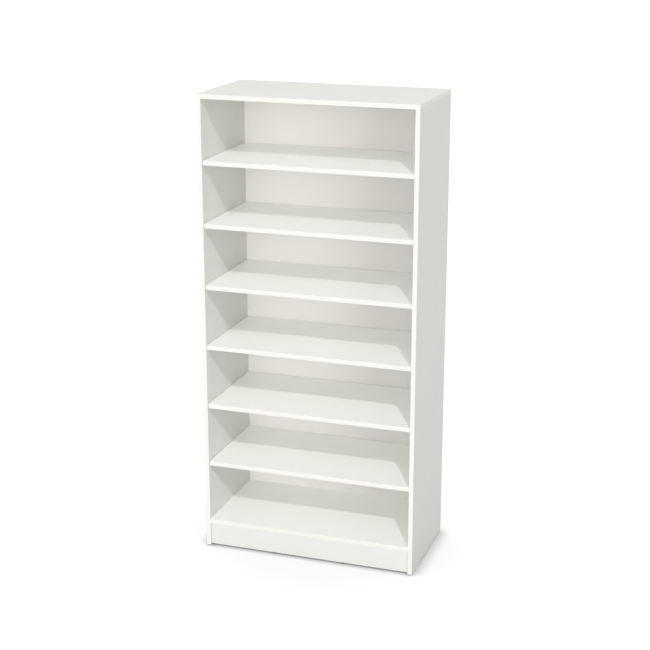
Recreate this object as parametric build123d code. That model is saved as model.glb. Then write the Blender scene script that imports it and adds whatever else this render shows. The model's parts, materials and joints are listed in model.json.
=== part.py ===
from build123d import *
import os

os.makedirs("parts", exist_ok=True)

# White open-fronted bookcase: two line-bored sides, a top laid over them, a fixed bottom on a recessed
# plinth, a thin back in a rebate, and six shelves that rest on pins and can be moved up or down.
# Millimetres, +Z up, front towards -Y. The origin is on the floor under the middle of the bookcase.

# Overall sizes
width = 910.0
depth = 465.0
height = 1930.0

# Boards
board = 18.0  # sides, top, bottom, plinths and shelves
back_board = 3.0
base_height = 122.5  # floor to the upper face of the bottom board
edge_band = 1.0  # plastic strip glued to each board edge that shows
edge_band_radius = 0.5

# Back, held in a rebate behind the sides and the top
rebate_width = 9.0
back_recess = 1.2  # how far the back lies in from the rear edges
back_side_gap = 1.0
nail_radius = 0.8
nail_length = 20.0
nail_head_radius = 2.2
nail_head_height = 0.9
nail_spacing = 150.0
nail_end_distance = 40.0

# Plinths under the bottom board
plinth_setback = 12.0
rear_plinth_setback = 30.0
plinth_lift = 3.0  # how far the plinths stop above the lower ends of the sides

# Glides pushed into the lower edges of the sides and plinths
side_glide_height = 3.0
glide_radius = 7.0
glide_plug_radius = 2.5
glide_plug_length = 12.0
glide_front_inset = 14.0
glide_middle_distance = 163.0
glide_rear_inset = 47.0
plinth_glide_spacing = 303.0

# Shelves and the rows of pin holes that carry them
shelf_count = 6
shelf_setback = 6.0
shelf_end_gap = 1.0
shelf_rear_gap = 2.0
hole_step = 32.0
first_hole_rise = 18.5  # lowest place in the hole rows, above the bottom board
spare_steps = 1  # spare holes above and below each shelf's own
front_row_inset = 37.0
rear_row_inset = 37.0

# Shelf pins
pin_radius = 2.5
pin_shank_length = 8.0
pin_hole_depth = 10.0
pin_flange_radius = 4.5
pin_flange = 1.2
pin_tongue_length = 14.0
pin_tongue_width = 9.0
pin_tongue = 2.4
pin_corner_radius = 2.0

# Cam fittings that pull the boards together
cam_radius = 7.5
cam_reach = 3.5  # how far the cam goes past the middle of its board
cam_backset = 24.0
cam_slot_radius = 3.6
cam_recess_width = 1.8
cam_recess_length = 9.0
cam_recess_depth = 3.0
bolt_thread_radius = 2.5
bolt_thread_length = 11.0
bolt_neck_radius = 1.9
bolt_shoulder_radius = 3.4
bolt_shoulder_length = 10.0
bolt_head_radius = 3.1
bolt_head_length = 2.6
bolt_hole_radius = 4.0
cam_inset = 60.0  # from the front or rear edge to the nearest cam
cap_radius = 8.5
cap_thickness = 1.0
cap_edge_radius = 0.6

# Wooden dowels beside the cam fittings
dowel_radius = 4.0
dowel_length = 35.0
dowel_in_face = 11.0
dowel_chamfer = 1.0
dowel_distance = 32.0  # from a cam bolt to the dowel beside it

# Fits
push_fit = 0.05  # radial, for pins, plugs, dowels and threads
end_room = 1.0  # left at the blind end of a dowel or bolt hole

# Places worked out from the sizes above
front = -depth / 2
rear = depth / 2
side_inner = width / 2 - board
side_middle = width / 2 - board / 2
side_bottom = side_glide_height
top_under = height - board
bottom_under = base_height - board
bottom_middle = base_height - board / 2
plinth_bottom = side_bottom + plinth_lift
plinth_middle = (plinth_bottom + bottom_under) / 2
plinth_glide_height = plinth_bottom
rebate_depth = back_board + back_recess
cam_depth = board / 2 + cam_reach
back_front = rear - rebate_depth

front_plinth_y = front + plinth_setback
rear_plinth_y = back_front - rear_plinth_setback - board
plinth_rows = {"front": front_plinth_y, "rear": rear_plinth_y}

row_places = (front + front_row_inset, back_front - rear_row_inset)
cam_rows = (front + cam_inset, back_front - cam_inset)
dowel_rows = (front + cam_inset + dowel_distance, back_front - cam_inset - dowel_distance)

# Each shelf takes the same whole number of hole steps, as many as the opening allows
clear_height = top_under - base_height
steps_per_shelf = int((clear_height + board) / (shelf_count + 1) / hole_step)


def pin_height(number):
    """Height of the pins under a shelf; shelf 1 is the highest."""
    from_bottom = shelf_count + 1 - number
    return base_height + first_hole_rise + (from_bottom * steps_per_shelf - 1) * hole_step


def shelf_under(number):
    return pin_height(number) + pin_radius


# Shapes used again and again


def block(corner, other):
    """A box between two opposite corners, given in either order."""
    size = [abs(other[i] - corner[i]) for i in range(3)]
    middle = [(other[i] + corner[i]) / 2 for i in range(3)]
    return Pos(*middle) * Box(*size)


def rod(start, direction, radius, length):
    """A round bar from start along direction."""
    bar = Cylinder(radius, length, align=(Align.CENTER, Align.CENTER, Align.MIN))
    return Plane(origin=start, z_dir=direction) * bar


def strip(corner, other, axis, end):
    """An edge band: a thin box whose outer face, at one end of an axis, has rounded edges."""
    band = block(corner, other)
    outer = band.faces().sort_by(axis)[end]
    return fillet(outer.edges(), edge_band_radius)


def write(name, pieces):
    """One file for a node, which holds one solid or a group of identical fasteners."""
    shape = pieces[0] if len(pieces) == 1 else Compound(children=pieces)
    export_step(shape, f"parts/{name}.step")


# Cam fittings. Each is placed by the face point where its bolt stands, the bolt's direction out of that
# face, and the direction in which the cam is pressed into the other board.


def along(point, direction, distance):
    return tuple(point[i] + direction[i] * distance for i in range(3))


def opposite(direction):
    return tuple(-part for part in direction)


def cam_mouth(foot, out, press):
    """Centre of the cam's open face, on the surface of the board that holds it."""
    centre = along(foot, out, cam_backset)
    return along(centre, press, -board / 2)


def cam_housing(foot, out, press):
    mouth = cam_mouth(foot, out, press)
    drum = rod(mouth, press, cam_radius, cam_depth)
    centre = along(foot, out, cam_backset)
    slot_start = along(centre, out, bolt_head_length)
    slot = rod(slot_start, opposite(out), cam_slot_radius, cam_radius * 2)
    cross = Box(cam_recess_length, cam_recess_width, cam_recess_depth * 2)
    cross += Box(cam_recess_width, cam_recess_length, cam_recess_depth * 2)
    recess = Plane(origin=mouth, z_dir=press, x_dir=out) * cross
    return drum - slot - recess


def cam_bolt(foot, out):
    neck_length = cam_backset - bolt_shoulder_length
    shape = rod(foot, opposite(out), bolt_thread_radius, bolt_thread_length)
    shape += rod(foot, out, bolt_shoulder_radius, bolt_shoulder_length)
    shape += rod(along(foot, out, bolt_shoulder_length), out, bolt_neck_radius, neck_length)
    head_start = along(foot, out, cam_backset - bolt_head_length / 2)
    return shape + rod(head_start, out, bolt_head_radius, bolt_head_length)


def cam_bores(foot, out, press):
    """What a cam fitting removes: from the board the bolt is screwed into, and from the cam's board."""
    in_face = rod(foot, opposite(out), bolt_thread_radius + push_fit, bolt_thread_length + end_room)
    drum = rod(cam_mouth(foot, out, press), press, cam_radius + push_fit, cam_depth + push_fit)
    passage = rod(foot, out, bolt_hole_radius, cam_backset)
    return in_face, [drum, passage]


def dowel(foot, out):
    start = along(foot, out, -dowel_in_face)
    peg = rod(start, out, dowel_radius, dowel_length)
    return chamfer(peg.edges().filter_by(GeomType.CIRCLE), dowel_chamfer)


def dowel_bores(foot, out):
    radius = dowel_radius + push_fit
    in_face = rod(foot, opposite(out), radius, dowel_in_face + end_room)
    in_edge = rod(foot, out, radius, dowel_length - dowel_in_face + end_room)
    return in_face, in_edge


def glide(place, glide_height):
    """A plastic glide on the floor, with the plug that holds it in the board above."""
    pad = rod((place[0], place[1], 0), (0, 0, 1), glide_radius, glide_height)
    return pad + rod((place[0], place[1], glide_height), (0, 0, 1), glide_plug_radius, glide_plug_length)


def glide_bore(place, glide_height):
    start = (place[0], place[1], glide_height)
    return rod(start, (0, 0, 1), glide_plug_radius + push_fit, glide_plug_length + end_room)


# Where every fitting stands. side is -1 at the left and +1 at the right.
down = (0, 0, -1)
up = (0, 0, 1)


def top_feet(side, rows):
    """Places on the under face of the top, over the middle of a side."""
    return [(side * side_middle, y, top_under) for y in rows]


def bottom_feet(side, rows):
    """Places on the inner face of a side, level with the middle of the bottom board."""
    return [(side * side_inner, y, bottom_middle) for y in rows]


def plinth_foot(side, row, rise):
    """A place on the inner face of a side, in the middle plane of a plinth."""
    return (side * side_inner, plinth_rows[row] + board / 2, plinth_middle + rise)


def plinth_press(row):
    """The cams are pressed in from the hidden face of each plinth."""
    return (0, -1, 0) if row == "front" else (0, 1, 0)


def inward(side):
    return (-side, 0, 0)


def outward(side):
    return (side, 0, 0)


side_glide_rows = (front + glide_front_inset, front + glide_middle_distance, rear - glide_rear_inset)
plinth_glide_places = {
    row: [(x, y + board / 2) for x in (-plinth_glide_spacing / 2, plinth_glide_spacing / 2)]
    for row, y in plinth_rows.items()
}


def pin_places():
    """Row and height of every pin hole in a side."""
    places = []
    for number in range(1, shelf_count + 1):
        for step in range(-spare_steps, spare_steps + 1):
            for y in row_places:
                places.append((y, pin_height(number) + step * hole_step))
    return places


# Boards


def side_panel(side):
    panel = block(
        (side * side_inner, front + edge_band, side_bottom),
        (side * width / 2, rear, top_under),
    )
    rebate = block(
        (side * side_inner, back_front, side_bottom),
        (side * (side_inner + rebate_width), rear, top_under),
    )
    cuts = [rebate]
    for y, z in pin_places():
        cuts.append(rod((side * side_inner, y, z), outward(side), pin_radius + push_fit, pin_hole_depth))
    for foot in top_feet(side, cam_rows):
        cuts += cam_bores(foot, down, outward(side))[1]
    for foot in top_feet(side, dowel_rows):
        cuts.append(dowel_bores(foot, down)[1])
    for foot in bottom_feet(side, cam_rows):
        cuts.append(cam_bores(foot, inward(side), up)[0])
    for foot in bottom_feet(side, dowel_rows):
        cuts.append(dowel_bores(foot, inward(side))[0])
    for row in plinth_rows:
        cuts.append(cam_bores(plinth_foot(side, row, 0), inward(side), plinth_press(row))[0])
        cuts.append(dowel_bores(plinth_foot(side, row, dowel_distance), inward(side))[0])
    for y in side_glide_rows:
        cuts.append(glide_bore((side * side_middle, y), side_glide_height))
    return panel - cuts


def top_panel():
    panel = block(
        (-width / 2 + edge_band, front + edge_band, top_under),
        (width / 2 - edge_band, rear, height),
    )
    reach = side_inner + rebate_width
    cuts = [block((-reach, back_front, top_under), (reach, rear, top_under + rebate_width))]
    for side in (-1, 1):
        cuts += [cam_bores(foot, down, outward(side))[0] for foot in top_feet(side, cam_rows)]
        cuts += [dowel_bores(foot, down)[0] for foot in top_feet(side, dowel_rows)]
    return panel - cuts


def bottom_panel():
    panel = block(
        (-side_inner, front + edge_band, bottom_under),
        (side_inner, back_front, base_height),
    )
    cuts = []
    for side in (-1, 1):
        for foot in bottom_feet(side, cam_rows):
            cuts += cam_bores(foot, inward(side), up)[1]
        for foot in bottom_feet(side, dowel_rows):
            cuts.append(dowel_bores(foot, inward(side))[1])
    return panel - cuts


def plinth(row):
    y = plinth_rows[row]
    panel = block((-side_inner, y, plinth_bottom), (side_inner, y + board, bottom_under))
    cuts = []
    for side in (-1, 1):
        cuts += cam_bores(plinth_foot(side, row, 0), inward(side), plinth_press(row))[1]
        cuts.append(dowel_bores(plinth_foot(side, row, dowel_distance), inward(side))[1])
    for place in plinth_glide_places[row]:
        cuts.append(glide_bore(place, plinth_glide_height))
    return panel - cuts


def back_panel():
    reach = side_inner + rebate_width - back_side_gap
    return block(
        (-reach, back_front, bottom_under),
        (reach, back_front + back_board, top_under + rebate_width - back_side_gap),
    )


def shelf(number):
    reach = side_inner - shelf_end_gap
    under = shelf_under(number)
    return block(
        (-reach, front + shelf_setback + edge_band, under),
        (reach, back_front - shelf_rear_gap, under + board),
    )


# Edge bands


def side_edging(side):
    return strip(
        (side * side_inner, front, side_bottom),
        (side * width / 2, front + edge_band, top_under),
        Axis.Y,
        0,
    )


def top_edging():
    half = width / 2
    bands = [strip((-half, front, top_under), (half, front + edge_band, height), Axis.Y, 0)]
    low_y = front + edge_band
    bands.append(strip((-half, low_y, top_under), (-half + edge_band, rear, height), Axis.X, 0))
    bands.append(strip((half - edge_band, low_y, top_under), (half, rear, height), Axis.X, -1))
    return bands


def bottom_edging():
    return strip(
        (-side_inner, front, bottom_under),
        (side_inner, front + edge_band, base_height),
        Axis.Y,
        0,
    )


def shelf_edging(number):
    reach = side_inner - shelf_end_gap
    under = shelf_under(number)
    low_y = front + shelf_setback
    return strip((-reach, low_y, under), (reach, low_y + edge_band, under + board), Axis.Y, 0)


# Fasteners


def shelf_pin(side, y, z):
    """A steel pin: a round shank in the side, a flange against it, and a flat tongue under the shelf."""
    face = (side * side_inner, y, z)
    shank = rod(face, outward(side), pin_radius, pin_shank_length)
    flange = rod(face, inward(side), pin_flange_radius, pin_flange)
    above = block(
        (face[0], y - pin_flange_radius, z + pin_radius),
        (face[0] - side * pin_flange, y + pin_flange_radius, z + pin_flange_radius),
    )
    half_width = pin_tongue_width / 2
    tongue = block(
        (face[0], y - half_width, z + pin_radius - pin_tongue),
        (face[0] - side * pin_tongue_length, y + half_width, z + pin_radius),
    )
    tip = tongue.edges().filter_by(Axis.Z).group_by(Axis.X)[0 if side > 0 else -1]
    return shank + (flange - above) + fillet(tip, pin_corner_radius)


def shelf_pins(number):
    z = pin_height(number)
    return [shelf_pin(side, y, z) for side in (-1, 1) for y in row_places]


def even_places(low, high, spacing):
    """Places from low to high, evenly spaced and no further apart than spacing."""
    gaps = int((high - low) / spacing) + 1
    return [low + (high - low) * i / gaps for i in range(gaps + 1)]


def back_nails():
    edge = side_inner + (rebate_width - back_side_gap) / 2
    lines = []
    for z in even_places(bottom_under + nail_end_distance, top_under - nail_end_distance, nail_spacing):
        lines += [(-edge, z), (edge, z)]
    reach = side_inner - nail_end_distance
    for x in even_places(-reach, reach, nail_spacing):
        lines += [(x, bottom_middle), (x, top_under + (rebate_width - back_side_gap) / 2)]
    nails = []
    for x, z in lines:
        head = (x, back_front + back_board, z)
        nail = rod(head, (0, -1, 0), nail_radius, nail_length)
        nails.append(nail + rod(head, (0, 1, 0), nail_head_radius, nail_head_height))
    return nails


def cover_cap(foot, side):
    """A plastic cap over a cam that would show inside the top compartment."""
    mouth = cam_mouth(foot, down, outward(side))
    disc = rod(mouth, inward(side), cap_radius, cap_thickness)
    rim = disc.edges().filter_by(GeomType.CIRCLE).sort_by(Axis.X)[0 if side > 0 else -1]
    return fillet(rim, cap_edge_radius)


sides = (-1, 1)
side_names = {-1: "left", 1: "right"}

for side in sides:
    write(f"{side_names[side]}_side_panel", [side_panel(side)])
    write(f"{side_names[side]}_side_edging", [side_edging(side)])
write("top_panel", [top_panel()])
write("top_edging", top_edging())
write("bottom_panel", [bottom_panel()])
write("bottom_edging", [bottom_edging()])
write("back_panel", [back_panel()])
write("back_nails", back_nails())

for row in plinth_rows:
    write(f"{row}_plinth", [plinth(row)])
    feet = [(side, plinth_foot(side, row, 0)) for side in sides]
    write(f"{row}_plinth_cams", [cam_housing(foot, inward(side), plinth_press(row)) for side, foot in feet])
    write(f"{row}_plinth_bolts", [cam_bolt(foot, inward(side)) for side, foot in feet])
    write(
        f"{row}_plinth_dowels",
        [dowel(plinth_foot(side, row, dowel_distance), inward(side)) for side in sides],
    )
    write(f"{row}_plinth_glides", [glide(place, plinth_glide_height) for place in plinth_glide_places[row]])

top_cam_feet = [(side, foot) for side in sides for foot in top_feet(side, cam_rows)]
write("top_cams", [cam_housing(foot, down, outward(side)) for side, foot in top_cam_feet])
write("top_bolts", [cam_bolt(foot, down) for side, foot in top_cam_feet])
write("top_cam_caps", [cover_cap(foot, side) for side, foot in top_cam_feet])
write("top_dowels", [dowel(foot, down) for side in sides for foot in top_feet(side, dowel_rows)])

bottom_cam_feet = [(side, foot) for side in sides for foot in bottom_feet(side, cam_rows)]
write("bottom_cams", [cam_housing(foot, inward(side), up) for side, foot in bottom_cam_feet])
write("bottom_bolts", [cam_bolt(foot, inward(side)) for side, foot in bottom_cam_feet])
write(
    "bottom_dowels",
    [dowel(foot, inward(side)) for side in sides for foot in bottom_feet(side, dowel_rows)],
)

for side in sides:
    places = [(side * side_middle, y) for y in side_glide_rows]
    write(f"{side_names[side]}_side_glides", [glide(place, side_glide_height) for place in places])

for number in range(1, shelf_count + 1):
    write(f"shelf_{number}", [shelf(number)])
    write(f"shelf_{number}_edging", [shelf_edging(number)])
    write(f"shelf_{number}_pins", shelf_pins(number))
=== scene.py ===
import json
import math

import bpy
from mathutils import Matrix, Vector


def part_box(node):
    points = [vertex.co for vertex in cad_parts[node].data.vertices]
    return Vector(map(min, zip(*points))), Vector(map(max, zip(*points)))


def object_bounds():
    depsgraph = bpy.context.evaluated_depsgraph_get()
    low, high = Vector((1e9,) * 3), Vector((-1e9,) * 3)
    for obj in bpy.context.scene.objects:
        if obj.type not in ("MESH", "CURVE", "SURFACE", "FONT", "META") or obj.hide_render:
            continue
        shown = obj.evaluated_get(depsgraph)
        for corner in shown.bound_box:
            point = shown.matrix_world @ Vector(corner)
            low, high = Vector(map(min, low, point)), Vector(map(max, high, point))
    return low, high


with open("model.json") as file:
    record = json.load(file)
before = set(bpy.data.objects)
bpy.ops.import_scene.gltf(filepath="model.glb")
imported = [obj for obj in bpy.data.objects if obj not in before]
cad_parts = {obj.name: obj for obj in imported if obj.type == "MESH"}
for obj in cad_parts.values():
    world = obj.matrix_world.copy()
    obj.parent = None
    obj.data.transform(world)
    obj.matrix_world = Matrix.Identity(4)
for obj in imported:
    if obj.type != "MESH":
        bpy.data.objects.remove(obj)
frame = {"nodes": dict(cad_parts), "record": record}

# Looks for the white bookcase. Every CAD piece keeps its shape; this script gives each one its finish,
# and adds the floor, the light and the camera. Metres, +Z up, front towards -Y.

nodes = frame["nodes"]
cad_low, cad_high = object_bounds()
centre = (cad_low + cad_high) / 2
height = cad_high.z - cad_low.z

# Colours, as linear reflectance
BOARD_WHITE = (0.790, 0.794, 0.760, 1)
BAND_WHITE = (0.862, 0.857, 0.808, 1)
GLUE_LINE = (0.60, 0.57, 0.50, 1)
LACQUER_WHITE = (0.795, 0.779, 0.750, 1)
CAP_WHITE = (0.795, 0.797, 0.768, 1)
CHIP_LIGHT = (0.65, 0.50, 0.33, 1)
CHIP_DARK = (0.31, 0.20, 0.115, 1)
HARDBOARD_LIGHT = (0.34, 0.205, 0.110, 1)
HARDBOARD_DARK = (0.20, 0.115, 0.060, 1)
BEECH_LIGHT = (0.66, 0.46, 0.27, 1)
BEECH_DARK = (0.50, 0.32, 0.17, 1)
NICKEL = (0.66, 0.64, 0.60, 1)
ZINC = (0.50, 0.51, 0.52, 1)
YELLOW_ZINC = (0.60, 0.55, 0.40, 1)
STEEL = (0.55, 0.55, 0.55, 1)
GLIDE_GREY = (0.035, 0.035, 0.038, 1)
FLOOR_PALE = (0.54, 0.54, 0.54, 1)

PAPER = 0.00015  # thickness of the white paper on each face of a board
BAND = 0.001  # thickness of an edge band
GLUE = 0.00012  # thickness of the line of glue behind it
SCREEN_PITCH = 0.0016  # between the marks that the press screen leaves behind a hardboard


# Materials

# Noise gathers round its middle value, so these ends of it are stretched to the full range
USUAL = {"start": 0.3, "end": 0.7}
NARROW = {"start": 0.35, "end": 0.65}


class Graph:
    """A material's node tree, built one node at a time, in the coordinates of the CAD frame."""

    def __init__(self, name):
        self.material = bpy.data.materials.new(name)
        self.material.use_nodes = True
        self.tree = self.material.node_tree
        self.shader = self.tree.nodes["Principled BSDF"]
        self.place = self.add("TexCoord").outputs["Object"]

    def add(self, kind, inputs=None, **settings):
        made = self.tree.nodes.new("ShaderNode" + kind)
        for key, value in settings.items():
            setattr(made, key, value)
        for key, value in (inputs or {}).items():
            self.feed(made.inputs[key], value)
        return made

    def feed(self, socket, value):
        if isinstance(value, bpy.types.NodeSocket):
            self.tree.links.new(value, socket)
        else:
            socket.default_value = value

    def calculate(self, operation, first, second=0.0):
        made = self.add("Math", operation=operation)
        self.feed(made.inputs[0], first)
        self.feed(made.inputs[1], second)
        return made.outputs[0]

    def noise(self, size, detail=2.0, rough=0.5, stretch=(1, 1, 1)):
        """Noise with features of about size metres, longer along an axis whose stretch is above 1."""
        scale = tuple(1 / (size * s) for s in stretch)
        vector = self.add("Mapping", {"Vector": self.place, "Scale": scale}).outputs[0]
        inputs = {"Vector": vector, "Scale": 1.0, "Detail": detail, "Roughness": rough}
        return self.add("TexNoise", inputs).outputs[0]

    def cells(self, size, stretch=(1, 1, 1)):
        """Random cells of about size metres: a random value for each, and the distance to its middle."""
        scale = tuple(1 / (size * s) for s in stretch)
        vector = self.add("Mapping", {"Vector": self.place, "Scale": scale}).outputs[0]
        made = self.add("TexVoronoi", {"Vector": vector, "Scale": 1.0})
        value = self.add("SeparateColor", {"Color": made.outputs["Color"]}).outputs[0]
        return value, made.outputs["Distance"]

    def spread(self, value, low, high, start=0.0, end=1.0):
        """Value from start to end, as a number from low to high."""
        inputs = {"Value": value, "From Min": start, "From Max": end, "To Min": low, "To Max": high}
        return self.add("MapRange", inputs).outputs[0]

    def mix(self, factor, first, second):
        made = self.add("Mix", data_type="RGBA")
        self.feed(made.inputs[0], factor)
        self.feed(made.inputs[6], first)
        self.feed(made.inputs[7], second)
        return made.outputs[2]

    def choose(self, factor, first, second):
        made = self.add("Mix", data_type="FLOAT")
        self.feed(made.inputs[0], factor)
        self.feed(made.inputs[2], first)
        self.feed(made.inputs[3], second)
        return made.outputs[0]

    def weigh(self, first, share, second):
        """Two values added, where the first has its share and the second has the rest."""
        rest = round(1 - share, 6)
        return self.calculate(
            "ADD",
            self.calculate("MULTIPLY", first, share),
            self.calculate("MULTIPLY", second, rest),
        )

    def shade(self, colour, factor, strength):
        """Colour made lighter and darker by up to strength, as factor goes from 1 to 0."""
        dark = tuple(channel * (1 - strength) for channel in colour[:3]) + (1,)
        light = tuple(min(channel * (1 + strength), 1.0) for channel in colour[:3]) + (1,)
        return self.mix(factor, dark, light)

    def along(self, axis):
        return self.add("SeparateXYZ", {"Vector": self.place}).outputs[axis]

    def bump(self, height, distance, strength=1.0):
        inputs = {"Height": height, "Distance": distance, "Strength": strength}
        self.feed(self.shader.inputs["Normal"], self.add("Bump", inputs).outputs[0])

    def set(self, **values):
        """Feeds the shader's inputs, named in short."""
        names = {
            "colour": "Base Color",
            "roughness": "Roughness",
            "metallic": "Metallic",
            "specular": "Specular IOR Level",
        }
        for key, value in values.items():
            self.feed(self.shader.inputs[names[key]], value)


def white_face(graph, colour):
    """The finish of a white board face: colour, roughness and height of a fine pearl grain."""
    cloud = graph.noise(0.35, detail=3.0)
    mottle = graph.noise(0.004, detail=2.0)
    tone = graph.spread(graph.weigh(cloud, 0.7, mottle), 0.0, 1.0, **NARROW)
    face = graph.shade(colour, tone, 0.012)
    grain = graph.noise(0.0011, detail=3.0, rough=0.6)
    polish = graph.spread(graph.noise(0.012, detail=3.0), 0.35, 0.47, **USUAL)
    smudge = graph.spread(graph.noise(0.11, detail=4.0, rough=0.6), -0.03, 0.05, **NARROW)
    streak = graph.noise(0.0016, detail=2.0, stretch=(36, 3, 36))
    scuff = graph.spread(streak, 0.0, 0.12, start=0.66, end=0.76)
    rough = graph.calculate("ADD", graph.calculate("ADD", polish, smudge), scuff)
    return face, rough, grain


def chip_core(graph):
    """Raw chipboard: flat chips of mixed tan and brown, with open pores between them."""
    chip, distance = graph.cells(0.0020, stretch=(1.5, 1.5, 0.8))
    fine, _ = graph.cells(0.0007)
    value = graph.weigh(chip, 0.65, fine)
    colour = graph.mix(value, CHIP_DARK, CHIP_LIGHT)
    relief = graph.calculate("SUBTRACT", value, graph.calculate("MULTIPLY", distance, 0.4))
    rough = 0.9
    return colour, rough, relief


def thickness_axis(node):
    """The axis across a board, the place of the board's middle along it, and half its thickness."""
    low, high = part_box(node)
    size = high - low
    axis = min(range(3), key=lambda i: size[i])
    return axis, (low[axis] + high[axis]) / 2, size[axis] / 2


def board_material(node):
    """White paper on the two wide faces, and raw chipboard on the cut edges and inside the holes."""
    graph = Graph("melamine_" + node)
    axis, middle, half = thickness_axis(node)
    offset = graph.calculate("ABSOLUTE", graph.calculate("SUBTRACT", graph.along(axis), middle))
    on_face = graph.calculate("GREATER_THAN", offset, half - PAPER)
    face, face_rough, grain = white_face(graph, BOARD_WHITE)
    core, core_rough, relief = chip_core(graph)
    graph.set(colour=graph.mix(on_face, core, face), specular=0.45)
    graph.set(roughness=graph.choose(on_face, core_rough, face_rough))
    surface = graph.choose(on_face, relief, graph.calculate("MULTIPLY", grain, 0.16))
    graph.bump(surface, 0.0004, 0.5)
    return graph.material


def screen_mark(graph):
    """The fine square mesh pressed into the rear of a hardboard, as a height from 0 to 1."""
    turns = 2 * math.pi / SCREEN_PITCH
    across = graph.calculate("SINE", graph.calculate("MULTIPLY", graph.along(0), turns))
    upward = graph.calculate("SINE", graph.calculate("MULTIPLY", graph.along(2), turns))
    return graph.spread(graph.calculate("MULTIPLY", across, upward), 0.0, 1.0, start=-1.0)


def back_material(node):
    """Thin hardboard: white lacquer on the front face, brown fibre with a faint screen mark behind."""
    graph = Graph("hardboard")
    low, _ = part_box(node)
    on_front = graph.calculate("LESS_THAN", graph.along(1), low.y + PAPER)
    face, face_rough, grain = white_face(graph, LACQUER_WHITE)
    cloud = graph.noise(0.09, detail=4.0, rough=0.6)
    fibre = graph.noise(0.0012, detail=4.0, rough=0.7, stretch=(1.6, 1, 1))
    tone = graph.spread(graph.weigh(cloud, 0.4, fibre), 0.0, 1.0, **USUAL)
    fibre_colour = graph.mix(tone, HARDBOARD_DARK, HARDBOARD_LIGHT)
    graph.set(colour=graph.mix(on_front, fibre_colour, face), specular=0.4)
    graph.set(roughness=graph.choose(on_front, 0.75, face_rough))
    rear = graph.calculate("ADD", fibre, graph.calculate("MULTIPLY", screen_mark(graph), 0.5))
    graph.bump(graph.choose(on_front, rear, graph.calculate("MULTIPLY", grain, 0.2)), 0.0003, 0.5)
    return graph.material


def band_material(node):
    """Warm white plastic strip with the faint lines of its making, and the line of glue behind it."""
    graph = Graph("edge_band_" + node)
    low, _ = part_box(node)
    offset = graph.calculate("SUBTRACT", graph.along(1), low.y + BAND - GLUE / 2)
    in_glue = graph.calculate("LESS_THAN", graph.calculate("ABSOLUTE", offset), GLUE / 2)
    lines = graph.noise(0.0006, detail=2.0, stretch=(14, 1, 14))
    cloud = graph.noise(0.25, detail=3.0)
    strip = graph.shade(BAND_WHITE, cloud, 0.012)
    graph.set(colour=graph.mix(in_glue, strip, GLUE_LINE), specular=0.5)
    graph.set(roughness=graph.spread(graph.noise(0.02, detail=3.0), 0.30, 0.42, **USUAL))
    graph.bump(lines, 0.00004, 0.5)
    return graph.material


def metal_material(name, colour, rough, grain_size, grain_depth):
    """Plated or cast metal with its grain and patches of a slightly different tone."""
    graph = Graph(name)
    grain = graph.noise(grain_size, detail=4.0, rough=0.65)
    patch = graph.noise(grain_size * 12, detail=3.0)
    graph.set(colour=graph.shade(colour, graph.spread(patch, 0.0, 1.0, **USUAL), 0.10), metallic=1.0)
    graph.set(roughness=graph.spread(grain, rough * 0.75, rough * 1.3, **USUAL))
    graph.bump(grain, grain_depth, 0.6)
    return graph.material


def plastic_material(name, colour, rough, texture):
    """Moulded plastic with a spark-eroded grain."""
    graph = Graph(name)
    grain = graph.noise(0.0005, detail=3.0, rough=0.6)
    patch = graph.noise(0.006, detail=3.0)
    graph.set(colour=graph.shade(colour, patch, 0.06), specular=0.45)
    graph.set(roughness=graph.spread(grain, rough - 0.06, rough + 0.08, **USUAL))
    graph.bump(grain, texture, 0.6)
    return graph.material


def beech_material():
    """Turned beech: fine streaks along the dowel and the short dark rays across them."""
    graph = Graph("beech")
    streak = graph.noise(0.0008, detail=3.0, stretch=(6, 1, 6))
    ray, _ = graph.cells(0.0009, stretch=(4, 1, 4))
    tone = graph.spread(graph.weigh(streak, 0.7, ray), 0.0, 1.0, **USUAL)
    graph.set(colour=graph.mix(tone, BEECH_DARK, BEECH_LIGHT))
    graph.set(roughness=0.7, specular=0.3)
    graph.bump(streak, 0.0001, 0.5)
    return graph.material


def dress(node, material):
    """Gives a CAD piece its finish in place of the plain one."""
    mesh = nodes[node].data
    mesh.materials.clear()
    mesh.materials.append(material)


finishes = {
    "pin_steel": metal_material("nickel", NICKEL, 0.28, 0.0006, 0.00001),
    "cam_zinc": metal_material("cast_zinc", ZINC, 0.50, 0.0008, 0.00005),
    "bolt_steel": metal_material("yellow_zinc", YELLOW_ZINC, 0.35, 0.0006, 0.00002),
    "nail_steel": metal_material("wire_steel", STEEL, 0.38, 0.0005, 0.00003),
    "dowel_wood": beech_material(),
    "glide_plastic": plastic_material("glide_plastic", GLIDE_GREY, 0.55, 0.00004),
    "cap_plastic": plastic_material("cap_plastic", CAP_WHITE, 0.42, 0.00003),
}

for part in frame["record"]["subparts"]:
    name = part["node"]
    slot = part["material_slot"]
    if slot == "white_board":
        dress(name, board_material(name))
    elif slot == "edge_band":
        dress(name, band_material(name))
    elif slot == "hardboard":
        dress(name, back_material(name))
    else:
        dress(name, finishes[slot])


# Floor

FLOOR_REACH = 60.0  # from the middle to each edge
FLOOR_LIFT = 0.348  # light that the floor adds for the camera alone
CONTACT_REACH = 0.06  # how far the dark line of contact spreads over the floor beside the bookcase
FRONT_REACH = 0.035  # and in front of it, where the light comes from
FRONT_START = cad_low.y - 0.02  # one reach goes over into the other between these two places
FRONT_END = cad_low.y + 0.04
CONTACT_DEPTH = 0.7  # how dark the floor gets where nothing of the sky is seen


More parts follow.
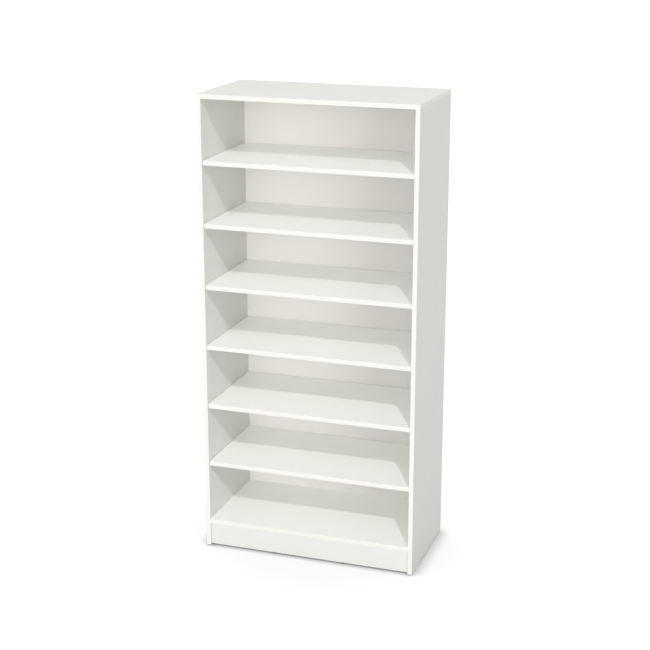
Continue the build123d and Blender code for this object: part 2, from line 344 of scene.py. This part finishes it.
def floor_material():
    """Pale matt floor. For the camera alone it is lifted to paper white, with painted contact shade
    beside the bookcase.
    """
    graph = Graph("pale_floor")
    seen = graph.add("LightPath").outputs["Is Camera Ray"]
    cloud = graph.noise(0.8, detail=2.0)
    pale = graph.shade(FLOOR_PALE, cloud, 0.005)
    # Painted shade: for camera rays alone, the floor's colour and its lift are darkened where the
    # bookcase hides the nearby sky, as a painted contact shadow
    reach = graph.spread(graph.along(1), FRONT_REACH, CONTACT_REACH, FRONT_START, FRONT_END)
    open_air = graph.add("AmbientOcclusion", {"Distance": reach}, samples=16).outputs["AO"]
    contact = graph.choose(seen, 1.0, graph.spread(open_air, 1.0 - CONTACT_DEPTH, 1.0))
    # The pale colour with the painted contact shade multiplied into it
    pale_with_painted_shade = graph.add("VectorMath", {0: pale, 1: contact}, operation="MULTIPLY").outputs[0]
    graph.set(colour=pale_with_painted_shade, roughness=0.9, specular=0.0)
    graph.bump(graph.noise(0.01, detail=2.0), 0.0002, 0.2)
    # The lift to paper white carries the same painted contact shade
    lift = graph.calculate("MULTIPLY", graph.calculate("MULTIPLY", seen, FLOOR_LIFT), contact)
    graph.feed(graph.shader.inputs["Emission Color"], (1, 1, 1, 1))
    graph.feed(graph.shader.inputs["Emission Strength"], lift)
    return graph.material


def make_floor(reach):
    corners = [(-reach, -reach, 0), (reach, -reach, 0), (reach, reach, 0), (-reach, reach, 0)]
    mesh = bpy.data.meshes.new("floor")
    mesh.from_pydata(corners, [], [(0, 1, 2, 3)])
    made = bpy.data.objects.new("floor", mesh)
    bpy.context.scene.collection.objects.link(made)
    mesh.materials.append(floor_material())
    return made


floor = make_floor(FLOOR_REACH)


# Light


def sky(strength):
    """Even surroundings of a strength, which the camera sees as plain white."""
    world = bpy.data.worlds.new("studio")
    bpy.context.scene.world = world
    world.use_nodes = True
    tree = world.node_tree
    background = tree.nodes["Background"]
    path = tree.nodes.new("ShaderNodeLightPath")
    level = tree.nodes.new("ShaderNodeMapRange")
    level.inputs["To Min"].default_value = strength
    level.inputs["To Max"].default_value = 1.0
    tree.links.new(path.outputs["Is Camera Ray"], level.inputs["Value"])
    tree.links.new(level.outputs[0], background.inputs["Strength"])
    background.inputs["Color"].default_value = (1.0, 1.0, 1.0, 1)


def gather(name, pieces):
    """A collection of pieces, for a lamp to light or to be stopped by."""
    made = bpy.data.collections.new(name)
    for piece in pieces:
        made.objects.link(piece)
    return made


def sun(name, strength, spread, travel, lit, blockers=(), shadow=True, gloss=True):
    """A distant light that travels along a direction and spreads over some degrees.

    It falls on the lit pieces alone. The blockers alone stop it, or everything where none are given.
    """
    data = bpy.data.lights.new(name, "SUN")
    data.energy = strength
    data.angle = math.radians(spread)
    data.use_shadow = shadow
    lamp = bpy.data.objects.new(name, data)
    bpy.context.scene.collection.objects.link(lamp)
    lamp.rotation_euler = Vector(travel).to_track_quat("-Z", "Y").to_euler()
    lamp.location = centre - Vector(travel).normalized() * height * 3
    lamp.light_linking.receiver_collection = gather("lit_by_" + name, lit)
    if blockers:
        lamp.light_linking.blocker_collection = gather("blocking_" + name, blockers)
    lamp.visible_glossy = gloss


bookcase = list(nodes.values())
back = [nodes["back_panel"]]
# The bottom board overhangs the plinth a little, and is left out here so that it puts no shadow on it
no_overhang = [nodes[name] for name in nodes if name not in ("bottom_panel", "bottom_edging")]

sky(strength=0.485)
sun("key", strength=1.1, spread=1.5, travel=(-0.137, 0.264, -0.256), lit=bookcase, blockers=no_overhang)
sun("soft_front", strength=0.6, spread=60.0, travel=(0, 0.8, -0.6), lit=bookcase, blockers=no_overhang)
sun("fill_front", strength=0.46, spread=40.0, travel=(0, 1, 0), lit=bookcase, shadow=False)
sun("fill_top", strength=0.84, spread=40.0, travel=(0, 0, -1), lit=bookcase, shadow=False, gloss=False)
sun("back_glow", strength=5.1, spread=60.0, travel=(-0.87, 0.5, 0), lit=back, blockers=bookcase)
sun("back_fill", strength=0.40, spread=40.0, travel=(0, 1, 0), lit=back, shadow=False)
sun("rear_fill", strength=1.9, spread=12.0, travel=(0.65, -0.75, 0), lit=bookcase, gloss=False)
sun("floor_light", strength=3.2, spread=170.0, travel=(0, 0.25, -1), lit=[floor])


# Camera, on a circle round the middle of the bookcase

VIEW_AZIMUTH = 18.90  # degrees to the right of straight in front
VIEW_ELEVATION = 16.83  # degrees above the level of the middle
VIEW_DISTANCE = 3.1660  # in heights of the bookcase
LENS = 81.53  # mm
SENSOR_WIDTH = 36.0  # mm
FARTHEST_SEEN = 300.0
AIM_DROP = 0.0016  # the camera looks this far below the middle


def aim_camera():
    azimuth = math.radians(VIEW_AZIMUTH)
    elevation = math.radians(VIEW_ELEVATION)
    outward = Vector((
        math.sin(azimuth) * math.cos(elevation),
        -math.cos(azimuth) * math.cos(elevation),
        math.sin(elevation),
    ))
    data = bpy.data.cameras.new("camera")
    data.sensor_width = SENSOR_WIDTH
    data.lens = LENS
    data.clip_end = FARTHEST_SEEN
    camera = bpy.data.objects.new("camera", data)
    bpy.context.scene.collection.objects.link(camera)
    camera.location = centre - Vector((0, 0, AIM_DROP)) + outward * VIEW_DISTANCE * height
    camera.rotation_euler = (-outward).to_track_quat("-Z", "Y").to_euler()
    bpy.context.scene.camera = camera


aim_camera()
bpy.context.scene.view_settings.view_transform = "Standard"
bpy.context.scene.view_settings.look = "None"
